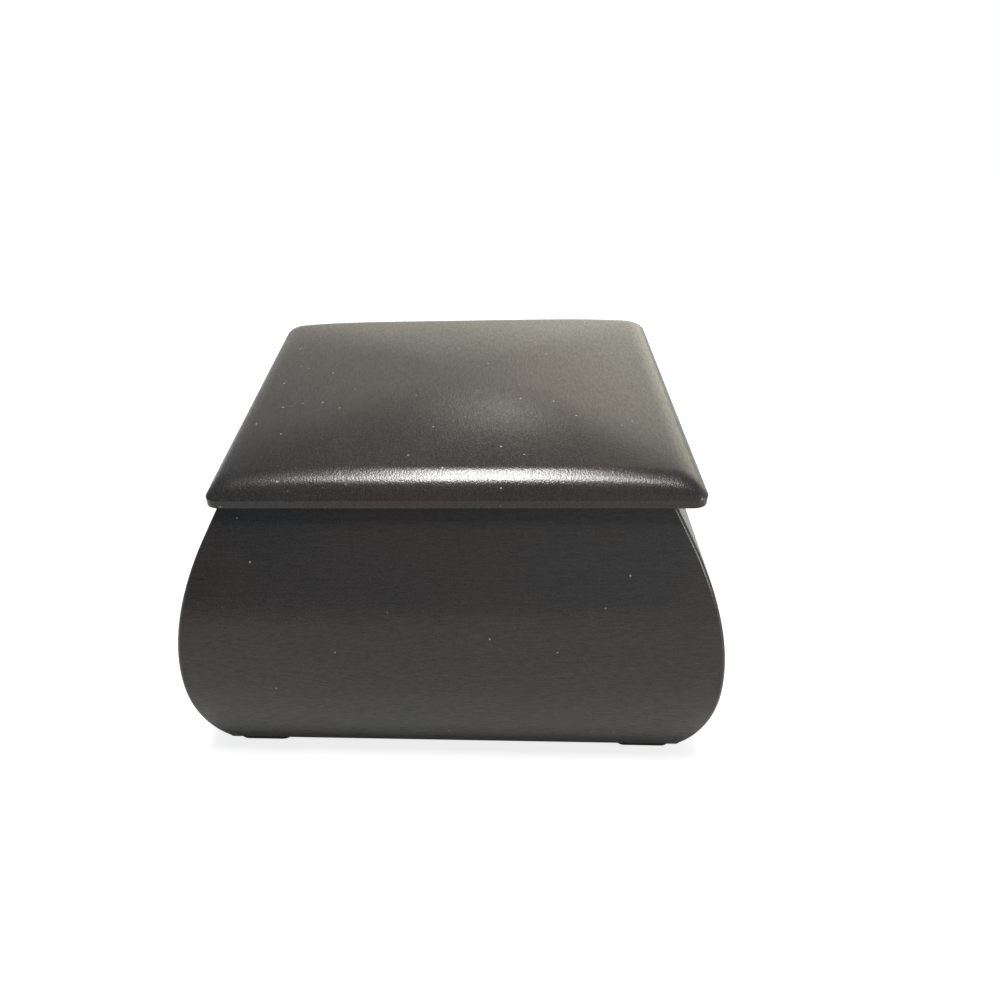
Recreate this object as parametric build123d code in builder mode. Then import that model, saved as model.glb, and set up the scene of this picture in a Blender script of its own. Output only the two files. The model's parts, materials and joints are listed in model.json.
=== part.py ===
from build123d import *
import os
from math import cos, radians, sin

os.makedirs("parts", exist_ok=True)

# All sizes are in millimetres. X runs to the right, Y to the back and Z up.
# The origin is under the middle of the case, on the surface that the feet stand on.

# Lid outline and pillow top
lid_width = 118.6
lid_depth = 102.0
lid_overhang = 3.3  # lid edge beyond the case rim, front and back
lid_side_overhang = 5.0  # the same at the sides, before the shift
lid_shift = 2.2  # how far the lid sits to the right of the case
lid_band = 2.4  # height of the square band round the lid
lid_corner_round = 3.2
lid_arris = 0.35  # chamfer round the lid's underside
roll_radius = 9.5  # rolled-over edge above the band
roll_start = 65.0  # degrees from level where the roll leaves the band
crown_start = 9.0  # degrees from level where the roll runs out into the crown

# Case walls: one moulding runs round all four sides. It leaves the belly upright,
# upwards in an arc that runs out into a straight slope, downwards in an arc to the underside.
case_height = 76.0  # from the underside to the rim
rim_wall = 7.0  # wall thickness at the rim
rim_slope = 29.3  # degrees from upright, just under the rim
belly_bulge = 15.2  # belly beyond the rim
belly_height = 27.3  # belly above the underside
base_tuck = 6.2  # underside's edge inside the belly
case_corner_round = 1.2
case_bottom_round = 0.8

# Bottom board and feet
base_thickness = 4.0
base_rebate = 5.0  # how far the board laps under the walls
foot_side = 16.0
foot_height = 2.9
foot_inset = 1.4  # foot face inside the underside's edge
foot_corner_round = 3.0
foot_arris = 0.5

# Velvet lining
lining_thickness = 1.2
lining_gap = 0.1  # clearance round each soft piece
lining_below_rim = 1.5
lining_round = 0.4
floor_pad_thickness = 3.0  # at its edge, before the crown
pad_crown = 1.5  # how much a pad is thicker in its middle
pad_tuck = 0.8  # pad's bottom edge inside its widest line
pad_shoulder = 2.2  # where the crown starts inside the widest line
pad_corner_round = 3.0
lid_recess_depth = 3.0
lid_recess_margin = 2.0  # recess edge inside the case's inner faces
lid_pad_thickness = 1.8  # at its edge, before the crown

# Hinges: two small butt hinges under the rear overhang
hinge_spread = 30.0  # each hinge from the middle of the case
hinge_length = 20.0
hinge_standoff = 1.46  # pin axis behind the rim's back face
barrel_diameter = 2.4
pin_diameter = 1.2
pin_clearance = 0.04  # running clearance in the lid leaf's knuckles
pin_end = 0.3  # pin beyond the barrel at each end
knuckle_count = 3
knuckle_gap = 0.15
leaf_thickness = 0.8
leaf_reach = 5.6  # leaf edge in front of the pin axis
leaf_gap = 0.1  # half the gap between the closed leaves
barrel_relief = 0.25  # room in the wood round the barrel

# Hinge screws, two in each leaf
screw_spacing = 12.0
screw_reach = 3.5  # screws in front of the pin axis
screw_shank = 1.1
screw_head = 2.2
screw_length = 5.0

# Levels
rim_level = foot_height + case_height
floor_level = foot_height + base_thickness
band_level = rim_level + lid_band
recess_level = rim_level + lid_recess_depth
case_leaf_level = rim_level - leaf_gap
lid_leaf_level = rim_level + leaf_gap

# Half sizes of the lid and of the case
lid_half_x = lid_width / 2
lid_half_y = lid_depth / 2
rim_half_x = lid_half_x - lid_side_overhang
rim_half_y = lid_half_y - lid_overhang
cavity_half_x = rim_half_x - rim_wall
cavity_half_y = rim_half_y - rim_wall
bottom_half_x = rim_half_x + belly_bulge - base_tuck
bottom_half_y = rim_half_y + belly_bulge - base_tuck
case_reach = rim_half_x + rim_half_y + belly_bulge

# Arc above the belly: it meets the rim's slope without a kink
slope_sin = sin(radians(rim_slope))
slope_cos = cos(radians(rim_slope))
shoulder_rise = (case_height - belly_height) * slope_sin - belly_bulge * slope_cos
shoulder_radius = shoulder_rise / (1 - slope_cos)

# Hinge places
axis_y = rim_half_y + hinge_standoff
barrel_radius = barrel_diameter / 2
relief_radius = barrel_radius + barrel_relief
relief_length = hinge_length + 2 * pin_end + 2 * barrel_relief
mortise_depth = leaf_thickness + leaf_gap
leaf_middle_y = axis_y - leaf_reach / 2
screw_y = axis_y - screw_reach
hinge_places = {"left": -hinge_spread, "right": hinge_spread}


def screw_places(hinge_x):
    """Plan places of one leaf's screws."""
    return [(hinge_x - screw_spacing / 2, screw_y), (hinge_x + screw_spacing / 2, screw_y)]


def save(part, name):
    """Label one finished piece and write it."""
    part.label = name
    export_step(part, f"parts/{name}.step")


def wall_outline(plane, rim_half):
    """Cross-section of the whole case between two opposite walls."""
    belly = (rim_half + belly_bulge, foot_height + belly_height)
    bottom_half = belly[0] - base_tuck
    with BuildSketch(plane) as outline:
        with BuildLine():
            TangentArc(belly, (bottom_half, foot_height), tangent=(0, -1))
            shoulder = JernArc(belly, (0, 1), shoulder_radius, rim_slope)
            Polyline(
                shoulder @ 1,
                (rim_half, rim_level),
                (0, rim_level),
                (0, foot_height),
                (bottom_half, foot_height),
            )
        make_face()
        mirror(about=Plane.YZ)
    return outline.sketch


def pad_outline(plane, half, base_level, thickness, rise):
    """Cross-section of a pad: drawn-in sides under a shallow crown."""
    lower_edge = (half - pad_tuck, base_level)
    shoulder = (half - pad_shoulder, base_level + rise * thickness)
    crown = (0, base_level + rise * (thickness + pad_crown))
    with BuildSketch(plane) as outline:
        with BuildLine():
            ThreePointArc(lower_edge, (half, base_level + rise * thickness / 2), shoulder)
            TangentArc(crown, shoulder, tangent=(1, 0))
            Polyline(crown, (0, base_level), lower_edge)
        make_face()
        mirror(about=Plane.YZ)
    return outline.sketch


def pad(half_x, half_y, base_level, thickness, rise):
    """Crowned velvet pad on base_level, standing up with rise 1 or hanging with rise -1."""
    long_outline = pad_outline(Plane.XZ, half_x, base_level, thickness, rise)
    deep_outline = pad_outline(Plane.YZ, half_y, base_level, thickness, rise)
    with BuildPart() as cushion:
        with BuildSketch(Plane.XY.offset(base_level)):
            RectangleRounded(2 * half_x, 2 * half_y, pad_corner_round)
        extrude(amount=rise * 2 * thickness)
        extrude(long_outline, amount=2 * half_y, both=True, mode=Mode.INTERSECT)
        extrude(deep_outline, amount=2 * half_x, both=True, mode=Mode.INTERSECT)
    return cushion.part


# Case block: the moulding run both ways, mitred where the two runs cross
front_outline = wall_outline(Plane.XZ, rim_half_x)
side_outline = wall_outline(Plane.YZ, rim_half_y)
with BuildPart() as case_shell:
    extrude(front_outline, amount=case_reach, both=True)
    extrude(side_outline, amount=case_reach, both=True, mode=Mode.INTERSECT)
    upright = case_shell.edges().filter_by(lambda edge: edge.bounding_box().size.Z > case_corner_round)
    fillet(upright, case_corner_round)
    fillet(case_shell.faces().sort_by(Axis.Z)[0].edges(), case_bottom_round)
    with BuildSketch(Plane.XY.offset(foot_height)):
        Rectangle(2 * cavity_half_x, 2 * cavity_half_y)
    extrude(amount=case_height, mode=Mode.SUBTRACT)
    with BuildSketch(Plane.XY.offset(foot_height)):
        Rectangle(2 * (cavity_half_x + base_rebate), 2 * (cavity_half_y + base_rebate))
    extrude(amount=base_thickness, mode=Mode.SUBTRACT)

    # Hinge mortises, screw holes and room for the barrels in the back wall's rim
    for hinge_x in hinge_places.values():
        with BuildSketch(Plane.XY.offset(rim_level)):
            with Locations((hinge_x, leaf_middle_y)):
                Rectangle(hinge_length, leaf_reach)
        extrude(amount=-mortise_depth, mode=Mode.SUBTRACT)
        with BuildSketch(Plane.YZ.offset(hinge_x)):
            with Locations((axis_y, rim_level)):
                Circle(relief_radius)
        extrude(amount=relief_length / 2, both=True, mode=Mode.SUBTRACT)
        with BuildSketch(Plane.XY.offset(case_leaf_level)):
            with Locations(*screw_places(hinge_x)):
                Circle(screw_shank / 2)
        extrude(amount=-screw_length, mode=Mode.SUBTRACT)

# Four walls, parted along the mitres
wall_directions = {
    "front_panel": Vector(0, -1, 0),
    "back_panel": Vector(0, 1, 0),
    "left_panel": Vector(-1, 0, 0),
    "right_panel": Vector(1, 0, 0),
}


def mitre(outward, side):
    """Upright plane through the mitre at one end of a wall, facing that wall."""
    along = outward.rotate(Axis.Z, 90) * side
    corner = outward + along
    return Plane(origin=(corner.X * rim_half_x, corner.Y * rim_half_y, 0), z_dir=outward - along)


for name, outward in wall_directions.items():
    with BuildPart() as wall:
        add(case_shell.part)
        split(bisect_by=mitre(outward, -1))
        split(bisect_by=mitre(outward, 1))
    save(wall.part, name)

# Bottom board in its rebate
with BuildPart() as base_panel:
    with BuildSketch(Plane.XY.offset(foot_height)):
        Rectangle(2 * (cavity_half_x + base_rebate), 2 * (cavity_half_y + base_rebate))
    extrude(amount=base_thickness)
save(base_panel.part, "base_panel")

# Four block feet near the corners of the underside
foot_x = bottom_half_x - foot_inset - foot_side / 2
foot_y = bottom_half_y - foot_inset - foot_side / 2
foot_places = {
    "foot_front_left": (-foot_x, -foot_y),
    "foot_front_right": (foot_x, -foot_y),
    "foot_back_left": (-foot_x, foot_y),
    "foot_back_right": (foot_x, foot_y),
}
for name, place in foot_places.items():
    with BuildPart() as foot:
        with BuildSketch():
            with Locations(place):
                RectangleRounded(foot_side, foot_side, foot_corner_round)
        extrude(amount=foot_height)
        chamfer(foot.faces().sort_by(Axis.Z)[0].edges(), foot_arris)
    save(foot.part, name)

# Lid blank: the roll is carried out past the lid's edge until it stands upright
blank_outset = roll_radius * (1 - sin(radians(roll_start)))
roll_foot = band_level - roll_radius * cos(radians(roll_start))


def pillow_outline(plane, half):
    """Cross-section of the lid blank: a rolled edge that runs out into a shallow crown."""
    edge = (half + blank_outset, roll_foot)
    with BuildSketch(plane) as outline:
        with BuildLine():
            roll = JernArc(edge, (0, 1), roll_radius, 90 - crown_start)
            crown_radius = (roll @ 1).X / sin(radians(crown_start))
            crown = JernArc(roll @ 1, roll % 1, crown_radius, crown_start)
            Polyline(crown @ 1, (0, foot_height), (edge[0], foot_height), edge)
        make_face()
        mirror(about=Plane.YZ)
    return outline.sketch


long_pillow = pillow_outline(Plane.XZ, lid_half_x)
deep_pillow = pillow_outline(Plane.YZ, lid_half_y)
with BuildPart() as lid_blank:
    extrude(long_pillow, amount=lid_depth, both=True)
    extrude(deep_pillow, amount=lid_width, both=True, mode=Mode.INTERSECT)
    fillet(lid_blank.edges().filter_by(Axis.Z), lid_corner_round + blank_outset)

# Lid: the blank trimmed to its outline, recessed underneath and let in for the hinges
recess_half_x = cavity_half_x - lid_recess_margin
recess_half_y = cavity_half_y - lid_recess_margin
with BuildPart() as lid_panel:
    with BuildSketch(Plane.XY.offset(rim_level)):
        with Locations((lid_shift, 0)):
            RectangleRounded(lid_width, lid_depth, lid_corner_round)
    extrude(amount=lid_band + 2 * roll_radius)
    chamfer(lid_panel.faces().sort_by(Axis.Z)[0].edges(), lid_arris)
    add(Pos(lid_shift, 0, 0) * lid_blank.part, mode=Mode.INTERSECT)
    with BuildSketch(Plane.XY.offset(rim_level)):
        RectangleRounded(2 * recess_half_x, 2 * recess_half_y, pad_corner_round)
    extrude(amount=lid_recess_depth, mode=Mode.SUBTRACT)
    for hinge_x in hinge_places.values():
        with BuildSketch(Plane.XY.offset(rim_level)):
            with Locations((hinge_x, leaf_middle_y)):
                Rectangle(hinge_length, leaf_reach)
        extrude(amount=mortise_depth, mode=Mode.SUBTRACT)
        with BuildSketch(Plane.XY.offset(rim_level)):
            with Locations((hinge_x, axis_y)):
                Rectangle(relief_length, 2 * relief_radius, align=(Align.CENTER, Align.CENTER))
            with Locations((hinge_x, axis_y)):
                Rectangle(relief_length, lid_overhang, align=(Align.CENTER, Align.MIN))
        extrude(amount=relief_radius, mode=Mode.SUBTRACT)
        with BuildSketch(Plane.XY.offset(lid_leaf_level)):
            with Locations(*screw_places(hinge_x)):
                Circle(screw_shank / 2)
        extrude(amount=screw_length, mode=Mode.SUBTRACT)
save(lid_panel.part, "lid_panel")


def hinge_leaf(hinge_x, level, rise, first_knuckle, bore):
    """Leaf whose plate lies against level and whose knuckles start at first_knuckle."""
    pitch = hinge_length / knuckle_count
    start = hinge_x - hinge_length / 2
    into_wood = Vector(0, 0, rise)
    with BuildPart() as leaf:
        with BuildSketch(Plane.XY.offset(level)):
            with Locations((hinge_x, leaf_middle_y)):
                Rectangle(hinge_length, leaf_reach)
        extrude(amount=rise * leaf_thickness)
        for i in range(1 - first_knuckle, knuckle_count, 2):
            with BuildSketch(Plane.YZ.offset(start + i * pitch)):
                with Locations((axis_y, rim_level)):
                    Circle(barrel_radius + knuckle_gap)
            extrude(amount=pitch, mode=Mode.SUBTRACT)
        for i in range(first_knuckle, knuckle_count, 2):
            with BuildSketch(Plane.YZ.offset(start + i * pitch + knuckle_gap / 2)):
                with Locations((axis_y, rim_level)):
                    Circle(barrel_radius)
            extrude(amount=pitch - knuckle_gap)
        with BuildSketch(Plane.YZ.offset(hinge_x)):
            with Locations((axis_y, rim_level)):
                Circle(bore / 2)
        extrude(amount=hinge_length, both=True, mode=Mode.SUBTRACT)
        heads = [Plane(origin=(x, y, level), z_dir=-into_wood) for x, y in screw_places(hinge_x)]
        with Locations(*heads):
            CounterSinkHole(screw_shank / 2, screw_head / 2, leaf_thickness, counter_sink_angle=90)
    return leaf.part


def hinge_screws(hinge_x, level, rise):
    """Countersunk screws of one leaf, their heads flush with its face."""
    head_depth = (screw_head - screw_shank) / 2
    with BuildPart() as screws:
        for x, y in screw_places(hinge_x):
            with BuildSketch(Plane(origin=(x, y, level), x_dir=(1, 0, 0), z_dir=(0, rise, 0))):
                Polygon(
                    (0, 0),
                    (screw_head / 2, 0),
                    (screw_shank / 2, -head_depth),
                    (screw_shank / 2, -screw_length),
                    (0, -screw_length),
                    align=None,
                )
            revolve(axis=Axis((x, y, level), (0, 0, 1)))
    return screws.part


# Two hinges: the case leaf holds the pin, the lid leaf turns on it
lid_bore = pin_diameter + 2 * pin_clearance
for side, hinge_x in hinge_places.items():
    save(hinge_leaf(hinge_x, case_leaf_level, -1, 0, pin_diameter), f"hinge_{side}_case_leaf")
    save(hinge_leaf(hinge_x, lid_leaf_level, 1, 1, lid_bore), f"hinge_{side}_lid_leaf")
    save(hinge_screws(hinge_x, case_leaf_level, -1), f"hinge_{side}_case_screws")
    save(hinge_screws(hinge_x, lid_leaf_level, 1), f"hinge_{side}_lid_screws")
    with BuildPart() as pin:
        with BuildSketch(Plane.YZ.offset(hinge_x)):
            with Locations((axis_y, rim_level)):
                Circle(pin_diameter / 2)
        extrude(amount=hinge_length / 2 + pin_end, both=True)
    save(pin.part, f"hinge_{side}_pin")

# Velvet linings on the four walls' flat inner faces
lining_bottom = floor_level + lining_gap
lining_height = rim_level - lining_below_rim - lining_bottom
lining_offset = lining_gap + lining_thickness / 2
long_lining = 2 * (cavity_half_x - lining_gap)
short_lining = 2 * (cavity_half_y - 2 * lining_gap - lining_thickness)
lining_plans = {
    "front_lining": (0, lining_offset - cavity_half_y, long_lining, lining_thickness),
    "back_lining": (0, cavity_half_y - lining_offset, long_lining, lining_thickness),
    "left_lining": (lining_offset - cavity_half_x, 0, lining_thickness, short_lining),
    "right_lining": (cavity_half_x - lining_offset, 0, lining_thickness, short_lining),
}
for name, (x, y, length_x, length_y) in lining_plans.items():
    with BuildPart() as lining:
        with BuildSketch(Plane.XY.offset(lining_bottom)):
            with Locations((x, y)):
                Rectangle(length_x, length_y)
        extrude(amount=lining_height)
        fillet(lining.faces().sort_by(Axis.Z)[-1].edges(), lining_round)
    save(lining.part, name)

# Floor pad inside the wall linings, and the lid's pad hanging in its recess
lined_inset = 2 * lining_gap + lining_thickness
floor_pad_half_x = cavity_half_x - lined_inset
floor_pad_half_y = cavity_half_y - lined_inset
floor_cushion = pad(floor_pad_half_x, floor_pad_half_y, lining_bottom, floor_pad_thickness, 1)
save(floor_cushion, "floor_cushion")
lid_pad_half_x = recess_half_x - lining_gap
lid_pad_half_y = recess_half_y - lining_gap
lid_cushion = pad(lid_pad_half_x, lid_pad_half_y, recess_level - lining_gap, lid_pad_thickness, -1)
save(lid_cushion, "lid_cushion")
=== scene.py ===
import json
from math import asin, cos, pi, radians, sin, sqrt, tan

import bmesh
import bpy
from bpy.props import FloatProperty, FloatVectorProperty, PointerProperty
from mathutils import Matrix, Vector, noise


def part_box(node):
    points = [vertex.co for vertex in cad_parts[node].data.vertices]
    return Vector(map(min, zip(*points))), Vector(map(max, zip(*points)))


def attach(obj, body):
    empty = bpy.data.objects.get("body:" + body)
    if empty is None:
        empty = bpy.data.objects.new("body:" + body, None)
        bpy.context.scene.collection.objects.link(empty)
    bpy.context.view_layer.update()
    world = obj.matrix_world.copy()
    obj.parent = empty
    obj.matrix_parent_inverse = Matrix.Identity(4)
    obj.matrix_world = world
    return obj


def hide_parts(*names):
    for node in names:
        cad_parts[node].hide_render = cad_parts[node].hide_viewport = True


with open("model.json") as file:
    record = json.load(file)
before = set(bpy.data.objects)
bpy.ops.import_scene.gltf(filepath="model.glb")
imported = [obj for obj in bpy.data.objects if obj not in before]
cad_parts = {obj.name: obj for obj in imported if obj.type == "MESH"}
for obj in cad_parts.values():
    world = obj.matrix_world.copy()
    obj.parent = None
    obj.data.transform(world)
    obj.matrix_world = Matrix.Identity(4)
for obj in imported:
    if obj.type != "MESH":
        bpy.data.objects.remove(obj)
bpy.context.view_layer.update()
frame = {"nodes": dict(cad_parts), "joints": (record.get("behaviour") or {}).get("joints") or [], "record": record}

bl_info = {
    "name": "Trinket Box Maker",
    "version": (1, 0, 0),
    "blender": (4, 5, 0),
    "location": "View3D > Sidebar > Trinket Box",
    "description": "Builds a black lacquered trinket box with a hinged pillow lid and velvet lining",
    "category": "Object",
}

MM = 0.001
WELD_DISTANCE = 0.001 * MM
SHORTEST_EDGE = 0.0005 * MM

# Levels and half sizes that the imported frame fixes
rim_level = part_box("front_panel")[1].z
underside_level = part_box("base_panel")[0].z
floor_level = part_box("base_panel")[1].z
lid_low, lid_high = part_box("lid_panel")
lid_half_x = (lid_high.x - lid_low.x) / 2
lid_half_y = (lid_high.y - lid_low.y) / 2
lid_shift = (lid_high.x + lid_low.x) / 2
belly_half_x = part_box("right_panel")[1].x
belly_half_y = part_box("back_panel")[1].y
hinge_axis = Vector(frame["joints"][0]["pos_m"])
slot_colours = {m["slot"]: tuple(m["base_color"]) for m in frame["record"]["materials"]}


class CaseShape(bpy.types.PropertyGroup):
    """Sizes of the moulded case."""

    belly_bulge: FloatProperty(
        name="Belly Bulge", description="How far the belly swells beyond the rim",
        default=15.2 * MM, unit="LENGTH")
    belly_height: FloatProperty(
        name="Belly Height", description="Height of the belly above the underside",
        default=27.3 * MM, unit="LENGTH")
    rim_slope: FloatProperty(
        name="Rim Slope", description="Lean of the wall just under the rim, from upright",
        default=radians(29.3), subtype="ANGLE")
    base_tuck: FloatProperty(
        name="Base Tuck", description="How far the underside's edge lies inside the belly",
        default=6.2 * MM, unit="LENGTH")
    rim_wall: FloatProperty(
        name="Rim Thickness", description="Thickness of the wall at the rim",
        default=7.0 * MM, unit="LENGTH")
    base_rebate: FloatProperty(
        name="Base Rebate", description="How far the bottom board laps under the walls",
        default=5.0 * MM, unit="LENGTH")
    corner_round: FloatProperty(
        name="Corner Round", description="Radius of the upright mitred corners",
        default=1.2 * MM, unit="LENGTH")
    bottom_round: FloatProperty(
        name="Bottom Round", description="Radius round the edge of the underside",
        default=0.8 * MM, unit="LENGTH")
    rim_arris: FloatProperty(
        name="Rim Arris", description="Small bevel on the outer edge of the rim",
        default=0.25 * MM, unit="LENGTH")
    mitre_line: FloatProperty(
        name="Mitre Line", description="Depth of the fine joint line at each mitre",
        default=0.04 * MM, unit="LENGTH")


class LidShape(bpy.types.PropertyGroup):
    """Sizes of the pillow lid."""

    band: FloatProperty(
        name="Square Band", description="Height of the square band round the lid",
        default=2.4 * MM, unit="LENGTH")
    corner_round: FloatProperty(
        name="Corner Round", description="Radius of the lid's corners in plan",
        default=3.2 * MM, unit="LENGTH")
    arris: FloatProperty(
        name="Lower Arris", description="Bevel round the lid's underside",
        default=0.35 * MM, unit="LENGTH")
    roll_radius: FloatProperty(
        name="Roll Radius", description="Radius of the rolled-over edge",
        default=9.5 * MM, unit="LENGTH")
    roll_start: FloatProperty(
        name="Roll Start", description="Slope of the roll where it leaves the band",
        default=radians(65), subtype="ANGLE")
    crown_start: FloatProperty(
        name="Crown Start", description="Slope where the roll runs out into the crown",
        default=radians(9), subtype="ANGLE")
    hip_hardness: FloatProperty(
        name="Hip Hardness", description="How sharply the two-way falls meet on the diagonals",
        default=2.9, min=1, max=8)
    recess_depth: FloatProperty(
        name="Recess Depth", description="Depth of the recess for the lid's pad",
        default=3.0 * MM, unit="LENGTH")


class FittingShape(bpy.types.PropertyGroup):
    """Sizes of the hinges, screws and feet."""

    hinge_spread: FloatProperty(
        name="Hinge Spread", description="Each hinge's distance from the middle",
        default=30.0 * MM, unit="LENGTH")
    hinge_length: FloatProperty(
        name="Hinge Length", description="Length of each hinge leaf",
        default=20.0 * MM, unit="LENGTH")
    leaf_reach: FloatProperty(
        name="Leaf Reach", description="From the pin's axis to the leaf's front edge",
        default=5.6 * MM, unit="LENGTH")
    leaf_depth: FloatProperty(
        name="Mortise Depth", description="Depth of the mortise for a leaf",
        default=0.9 * MM, unit="LENGTH")
    barrel_room: FloatProperty(
        name="Barrel Room", description="Radius of the room left round the barrel",
        default=1.45 * MM, unit="LENGTH")
    screw_head: FloatProperty(
        name="Screw Head", description="Diameter of the countersunk head",
        default=2.2 * MM, unit="LENGTH")
    screw_shank: FloatProperty(
        name="Screw Shank", description="Diameter of the screw's shank",
        default=1.1 * MM, unit="LENGTH")
    foot_round: FloatProperty(
        name="Foot Round", description="Radius of a foot's upright edges",
        default=3.0 * MM, unit="LENGTH")
    foot_arris: FloatProperty(
        name="Foot Arris", description="Rounding of a foot's lower edge",
        default=0.5 * MM, unit="LENGTH")


class PadShape(bpy.types.PropertyGroup):
    """Sizes of the velvet pads and linings."""

    cushion_crown: FloatProperty(
        name="Cushion Crown", description="How much thicker a cushion is in its middle",
        default=1.5 * MM, unit="LENGTH")
    cushion_shoulder: FloatProperty(
        name="Cushion Shoulder", description="Width of a cushion's rounded edge",
        default=3.4 * MM, unit="LENGTH")
    cushion_corner: FloatProperty(
        name="Cushion Corner", description="Radius of a cushion's corners in plan",
        default=3.0 * MM, unit="LENGTH")
    lining_crown: FloatProperty(
        name="Lining Crown", description="Swell of the velvet on the wall linings",
        default=0.25 * MM, unit="LENGTH")
    lining_shoulder: FloatProperty(
        name="Lining Shoulder", description="Width of a lining's rounded edge",
        default=0.9 * MM, unit="LENGTH")
    ripple: FloatProperty(
        name="Ripple", description="Height of the soft unevenness of the velvet",
        default=0.07 * MM, unit="LENGTH")


class BoxFinish(bpy.types.PropertyGroup):
    """Colours of the finishes."""

    wood: FloatVectorProperty(
        name="Black Lacquer", description="Colour of the lacquered wood",
        default=slot_colours["black_wood"], subtype="COLOR", min=0, max=1)
    brass: FloatVectorProperty(
        name="Brass", description="Colour of the hinges and screws",
        default=slot_colours["brass"], subtype="COLOR", min=0, max=1)
    velvet: FloatVectorProperty(
        name="Velvet", description="Colour of the lining's pile",
        default=slot_colours["velvet"], subtype="COLOR", min=0, max=1)
    gloss: FloatProperty(
        name="Grain Roughness", description="Roughness of the wood's surface under the lacquer",
        default=0.25, min=0, max=1, subtype="FACTOR")


class StageLook(bpy.types.PropertyGroup):
    """Floor, lamps and camera."""

    floor_colour: FloatVectorProperty(
        name="Floor", description="Colour of the studio floor",
        default=(0.52, 0.52, 0.52), subtype="COLOR", min=0, max=1)
    lens: FloatProperty(
        name="Lens", description="Focal length on a 36 mm sensor", default=28.8, min=1)


# Mesh helpers

def link_mesh(name, verts, faces):
    """A new object from vertices and faces, with doubled points merged and normals outward."""
    mesh = bpy.data.meshes.new(name)
    mesh.from_pydata([tuple(v) for v in verts], [], faces)
    work = bmesh.new()
    work.from_mesh(mesh)
    bmesh.ops.remove_doubles(work, verts=work.verts, dist=WELD_DISTANCE)
    bmesh.ops.dissolve_degenerate(work, edges=work.edges, dist=SHORTEST_EDGE)
    bmesh.ops.recalc_face_normals(work, faces=work.faces)
    work.to_mesh(mesh)
    work.free()
    piece = bpy.data.objects.new(name, mesh)
    bpy.context.scene.collection.objects.link(piece)
    return piece


def smooth(piece, angle=24):
    """Smooth shading with the true arrises kept."""
    piece.data.shade_smooth()
    piece.data.set_sharp_from_angle(angle=radians(angle))


def apply_modifiers(piece):
    """Makes the modifiers' result the piece's own mesh."""
    bpy.context.view_layer.update()
    graph = bpy.context.evaluated_depsgraph_get()
    result = bpy.data.meshes.new_from_object(piece.evaluated_get(graph))
    old = piece.data
    piece.modifiers.clear()
    piece.data = result
    result.name = piece.name
    bpy.data.meshes.remove(old)


def carve(piece, *cutters):
    """Cuts each cutter's shape out of the piece and throws the cutter away."""
    for cutter in cutters:
        cut = piece.modifiers.new("Carve", "BOOLEAN")
        cut.operation = "DIFFERENCE"
        cut.solver = "EXACT"
        cut.object = cutter
        apply_modifiers(piece)
        bpy.data.objects.remove(cutter, do_unlink=True)


def block_cutter(name, boxes):
    """Cutter of separate blocks, each a pair of corners."""
    verts, faces = [], []
    for low, high in boxes:
        n = len(verts)
        for z in (low[2], high[2]):
            verts += [(low[0], low[1], z), (high[0], low[1], z)]
            verts += [(high[0], high[1], z), (low[0], high[1], z)]
        faces += [(n, n + 3, n + 2, n + 1), (n + 4, n + 5, n + 6, n + 7)]
        faces += [(n + i, n + (i + 1) % 4, n + 4 + (i + 1) % 4, n + 4 + i) for i in range(4)]
    return link_mesh(name, verts, faces)


def rod_cutter(name, ends, radius, sides=32):
    """Cutter of separate round rods, each from one point to another."""
    verts, faces = [], []
    for start, end in ends:
        start, end = Vector(start), Vector(end)
        along = (end - start).normalized()
        across = along.orthogonal().normalized()
        third = along.cross(across)
        n = len(verts)
        for point in (start, end):
            for i in range(sides):
                turn = 2 * pi * i / sides
                verts.append(point + radius * (cos(turn) * across + sin(turn) * third))
        faces.append([n + i for i in range(sides)])
        faces.append([n + sides + i for i in range(sides)])
        for i in range(sides):
            j = (i + 1) % sides
            faces.append((n + i, n + j, n + sides + j, n + sides + i))
    return link_mesh(name, verts, faces)


def rounded_outline(half_x, half_y, radius, steps):
    """Plan points of a rounded rectangle, anticlockwise."""
    points = []
    for quarter in range(4):
        sx = 1 if quarter in (0, 3) else -1
        sy = 1 if quarter in (0, 1) else -1
        for i in range(steps + 1):
            turn = (quarter + i / steps) * pi / 2
            points.append((
                sx * (half_x - radius) + radius * cos(turn),
                sy * (half_y - radius) + radius * sin(turn)))
    return points


def stacked_loops(loops):
    """Closed skin over loops of points of one length, capped at both ends."""
    count = len(loops[0])
    verts = [p for loop in loops for p in loop]
    faces = []
    for k in range(len(loops) - 1):
        for i in range(count):
            j = (i + 1) % count
            faces.append((k * count + i, k * count + j, (k + 1) * count + j, (k + 1) * count + i))
    faces.append(list(range(count)))
    faces.append([(len(loops) - 1) * count + i for i in range(count)])
    return verts, faces


def edge_dense(count, evenness=0.25):
    """Places from -1 to 1 that crowd towards both ends."""
    places = []
    for i in range(count + 1):
        u = 2 * i / count - 1
        places.append(evenness * u + (1 - evenness) * sin(u * pi / 2))
    return places


def into_rounded_corner(x, y, half_x, half_y, radius):
    """Moves a point of a plain rectangle's corner square into the rounded corner."""
    u = (abs(x) - (half_x - radius)) / radius
    v = (abs(y) - (half_y - radius)) / radius
    if u <= 0 or v <= 0:
        return x, y
    new_u = u * sqrt(1 - v * v / 2)
    new_v = v * sqrt(1 - u * u / 2)
    new_x = half_x - radius + radius * new_u
    new_y = half_y - radius + radius * new_v
    return (new_x if x > 0 else -new_x), (new_y if y > 0 else -new_y)


def joined_falls(a, b, hardness=3.0):
    """Joins the falls towards two edges, each from 0 to 1, with a soft hip between them."""
    a, b = max(a, 0) ** hardness, max(b, 0) ** hardness
    return (a + b - a * b) ** (1 / hardness)


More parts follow.
